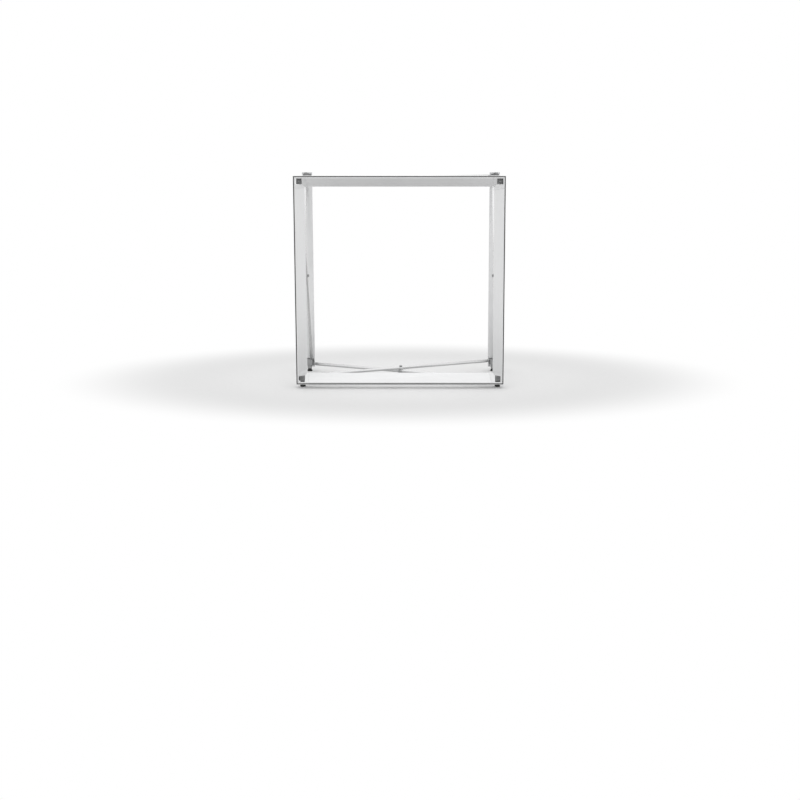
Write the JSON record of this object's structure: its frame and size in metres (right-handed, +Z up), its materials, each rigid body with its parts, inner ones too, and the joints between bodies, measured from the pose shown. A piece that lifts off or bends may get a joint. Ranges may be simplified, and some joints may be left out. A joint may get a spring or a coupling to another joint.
{
  "type": "tabletop tension fabric display frame",
  "caption": "Folding tabletop display frame with push-fit channels that hold the edge of a fabric graphic, on hubs joined by crossed tubes.",
  "frame": {"origin": "centre of the bounding box's base, on the surface under the feet", "axes": "+Z up, +Y from the front of the display to its rear, +X to the right as the front is seen"},
  "size_m": [0.775, 0.367, 0.79],
  "materials": {
    "channel_aluminium": "satin",
    "corner_aluminium": "satin",
    "tube_aluminium": "satin",
    "hub_nylon": "matte",
    "fitting_nylon": "matte",
    "cap_nylon": "matte",
    "foot_rubber": "matte"
  },
  "bodies": {
    "base_hub": {"front_hub_bottom_left": "hub_nylon", "front_foot_left": "foot_rubber"},
    "hub_front_bottom_right": {"front_hub_bottom_right": "hub_nylon", "front_foot_right": "foot_rubber"},
    "hub_front_top_right": {"front_hub_top_right": "hub_nylon"},
    "hub_front_top_left": {"front_hub_top_left": "hub_nylon"},
    "hub_rear_bottom_left": {"rear_hub_bottom_left": "hub_nylon", "rear_foot_left": "foot_rubber"},
    "hub_rear_bottom_right": {"rear_hub_bottom_right": "hub_nylon", "rear_foot_right": "foot_rubber"},
    "hub_rear_top_right": {"rear_hub_top_right": "hub_nylon"},
    "hub_rear_top_left": {"rear_hub_top_left": "hub_nylon"},
    "bottom_inner_link": {"bottom_inner_tube": "tube_aluminium", "bottom_inner_tube_start_fitting": "fitting_nylon", "bottom_inner_tube_end_fitting": "fitting_nylon"},
    "bottom_outer_link": {"bottom_outer_tube": "tube_aluminium", "bottom_outer_tube_start_fitting": "fitting_nylon", "bottom_outer_tube_end_fitting": "fitting_nylon", "bottom_pivot_stud": "fitting_nylon"},
    "right_inner_link": {"right_inner_tube": "tube_aluminium", "right_inner_tube_start_fitting": "fitting_nylon", "right_inner_tube_end_fitting": "fitting_nylon"},
    "right_outer_link": {"right_outer_tube": "tube_aluminium", "right_outer_tube_start_fitting": "fitting_nylon", "right_outer_tube_end_fitting": "fitting_nylon", "right_pivot_stud": "fitting_nylon"},
    "top_inner_link": {"top_inner_tube": "tube_aluminium", "top_inner_tube_start_fitting": "fitting_nylon", "top_inner_tube_end_fitting": "fitting_nylon"},
    "top_outer_link": {"top_outer_tube": "tube_aluminium", "top_outer_tube_start_fitting": "fitting_nylon", "top_outer_tube_end_fitting": "fitting_nylon", "top_pivot_stud": "fitting_nylon"},
    "left_inner_link": {"left_inner_tube": "tube_aluminium", "left_inner_tube_start_fitting": "fitting_nylon", "left_inner_tube_end_fitting": "fitting_nylon"},
    "left_outer_link": {"left_outer_tube": "tube_aluminium", "left_outer_tube_start_fitting": "fitting_nylon", "left_outer_tube_end_fitting": "fitting_nylon", "left_pivot_stud": "fitting_nylon"},
    "bottom_bar": {"channel_bottom": "channel_aluminium", "corner_bottom_left": "corner_aluminium", "channel_bottom_end_plug": "hub_nylon"},
    "right_bar": {"channel_right": "channel_aluminium", "corner_bottom_right": "corner_aluminium", "channel_right_end_plug": "hub_nylon"},
    "top_bar": {"channel_top": "channel_aluminium", "corner_top_right": "corner_aluminium", "channel_top_end_plug": "hub_nylon"},
    "left_bar": {"channel_left": "channel_aluminium", "corner_top_left": "corner_aluminium", "channel_left_end_plug": "hub_nylon"},
    "left_post": {"rear_post_left": "channel_aluminium", "rear_post_left_hinge_cap": "cap_nylon", "rear_post_left_foot_cap": "cap_nylon"},
    "right_post": {"rear_post_right": "channel_aluminium", "rear_post_right_hinge_cap": "cap_nylon", "rear_post_right_foot_cap": "cap_nylon"}
  },
  "joints": [
    {"name": "frame_fold", "type": "hinge", "parent": "base_hub", "child": "bottom_inner_link", "pos_m": [-0.349, -0.1435, 0.0535], "axis": [0, 0, 1], "range_deg": [0, 64.5]},
    {"name": "bottom_cross", "type": "hinge", "parent": "bottom_inner_link", "child": "bottom_outer_link", "pos_m": [0, 0, 0.0535], "axis": [0, 0, 1], "range_deg": [-129, 0]},
    {"name": "hub_front_bottom_right_turn", "type": "hinge", "parent": "bottom_outer_link", "child": "hub_front_bottom_right", "pos_m": [0.349, -0.1435, 0.0535], "axis": [0, 0, 1], "range_deg": [0, 64.5]},
    {"name": "hub_rear_bottom_left_turn", "type": "hinge", "parent": "bottom_outer_link", "child": "hub_rear_bottom_left", "pos_m": [-0.349, 0.1435, 0.0535], "axis": [0, 0, 1], "range_deg": [0, 64.5]},
    {"name": "hub_rear_bottom_right_turn", "type": "hinge", "parent": "bottom_inner_link", "child": "hub_rear_bottom_right", "pos_m": [0.349, 0.1435, 0.0535], "axis": [0, 0, 1], "range_deg": [-64.5, 0]},
    {"name": "left_outer_turn", "type": "hinge", "parent": "base_hub", "child": "left_outer_link", "pos_m": [-0.367, -0.1435, 0.0535], "axis": [-1, 0, 0], "range_deg": [0, 64.5]},
    {"name": "left_cross", "type": "hinge", "parent": "left_outer_link", "child": "left_inner_link", "pos_m": [-0.367, 0, 0.4025], "axis": [-1, 0, 0], "range_deg": [-129, 0]},
    {"name": "right_inner_turn", "type": "hinge", "parent": "hub_front_bottom_right", "child": "right_inner_link", "pos_m": [0.367, -0.1435, 0.0535], "axis": [-1, 0, 0], "range_deg": [0, 64.5]},
    {"name": "right_cross", "type": "hinge", "parent": "right_inner_link", "child": "right_outer_link", "pos_m": [0.367, 0, 0.4025], "axis": [-1, 0, 0], "range_deg": [-129, 0]},
    {"name": "hub_front_top_right_turn", "type": "hinge", "parent": "right_outer_link", "child": "hub_front_top_right", "pos_m": [0.367, -0.1435, 0.7515], "axis": [-1, 0, 0], "range_deg": [0, 64.5]},
    {"name": "top_inner_turn", "type": "hinge", "parent": "hub_front_top_right", "child": "top_inner_link", "pos_m": [0.349, -0.1435, 0.7515], "axis": [0, 0, -1], "range_deg": [0, 64.5]},
    {"name": "top_cross", "type": "hinge", "parent": "top_inner_link", "child": "top_outer_link", "pos_m": [0, 0, 0.7515], "axis": [0, 0, -1], "range_deg": [-129, 0]},
    {"name": "hub_rear_top_right_turn", "type": "hinge", "parent": "top_outer_link", "child": "hub_rear_top_right", "pos_m": [0.349, 0.1435, 0.7515], "axis": [0, 0, -1], "range_deg": [0, 64.5]},
    {"name": "hub_front_top_left_turn", "type": "hinge", "parent": "top_outer_link", "child": "hub_front_top_left", "pos_m": [-0.349, -0.1435, 0.7515], "axis": [0, 0, -1], "range_deg": [0, 64.5]},
    {"name": "hub_rear_top_left_turn", "type": "hinge", "parent": "top_inner_link", "child": "hub_rear_top_left", "pos_m": [-0.349, 0.1435, 0.7515], "axis": [0, 0, -1], "range_deg": [-64.5, 0]},
    {"name": "bottom_bar_swing", "type": "hinge", "parent": "base_hub", "child": "bottom_bar", "pos_m": [-0.38485, -0.167, 0.0355], "axis": [0, 0, -1], "range_deg": [0, 90]},
    {"name": "right_bar_swing", "type": "hinge", "parent": "hub_front_bottom_right", "child": "right_bar", "pos_m": [0.367, -0.167, 0.01765], "axis": [1, 0, 0], "range_deg": [0, 90]},
    {"name": "top_bar_swing", "type": "hinge", "parent": "hub_front_top_right", "child": "top_bar", "pos_m": [0.38485, -0.167, 0.7695], "axis": [0, 0, 1], "range_deg": [0, 90]},
    {"name": "left_bar_swing", "type": "hinge", "parent": "hub_front_top_left", "child": "left_bar", "pos_m": [-0.367, -0.167, 0.78735], "axis": [-1, 0, 0], "range_deg": [0, 90]},
    {"name": "left_post_swing", "type": "hinge", "parent": "hub_rear_top_left", "child": "left_post", "pos_m": [-0.367, 0.1645, 0.78735], "axis": [1, 0, 0], "range_deg": [0, 90]},
    {"name": "right_post_swing", "type": "hinge", "parent": "hub_rear_top_right", "child": "right_post", "pos_m": [0.367, 0.1645, 0.78735], "axis": [1, 0, 0], "range_deg": [0, 90]}
  ],
  "couplings": [
    {"joint": "bottom_cross", "follows": "frame_fold", "ratio": -2},
    {"joint": "hub_front_bottom_right_turn", "follows": "frame_fold", "ratio": 1},
    {"joint": "hub_rear_bottom_left_turn", "follows": "frame_fold", "ratio": 1},
    {"joint": "hub_rear_bottom_right_turn", "follows": "frame_fold", "ratio": -1},
    {"joint": "left_outer_turn", "follows": "frame_fold", "ratio": 1},
    {"joint": "left_cross", "follows": "frame_fold", "ratio": -2},
    {"joint": "right_inner_turn", "follows": "frame_fold", "ratio": 1},
    {"joint": "right_cross", "follows": "frame_fold", "ratio": -2},
    {"joint": "hub_front_top_right_turn", "follows": "frame_fold", "ratio": 1},
    {"joint": "top_inner_turn", "follows": "frame_fold", "ratio": 1},
    {"joint": "top_cross", "follows": "frame_fold", "ratio": -2},
    {"joint": "hub_rear_top_right_turn", "follows": "frame_fold", "ratio": 1},
    {"joint": "hub_front_top_left_turn", "follows": "frame_fold", "ratio": 1},
    {"joint": "hub_rear_top_left_turn", "follows": "frame_fold", "ratio": -1},
    {"joint": "bottom_bar_swing", "follows": "frame_fold", "ratio": 1.3953},
    {"joint": "right_bar_swing", "follows": "frame_fold", "ratio": 1.3953},
    {"joint": "top_bar_swing", "follows": "frame_fold", "ratio": 1.3953},
    {"joint": "left_bar_swing", "follows": "frame_fold", "ratio": 1.3953},
    {"joint": "left_post_swing", "follows": "frame_fold", "ratio": 1.3953},
    {"joint": "right_post_swing", "follows": "frame_fold", "ratio": 1.3953}
  ]
}
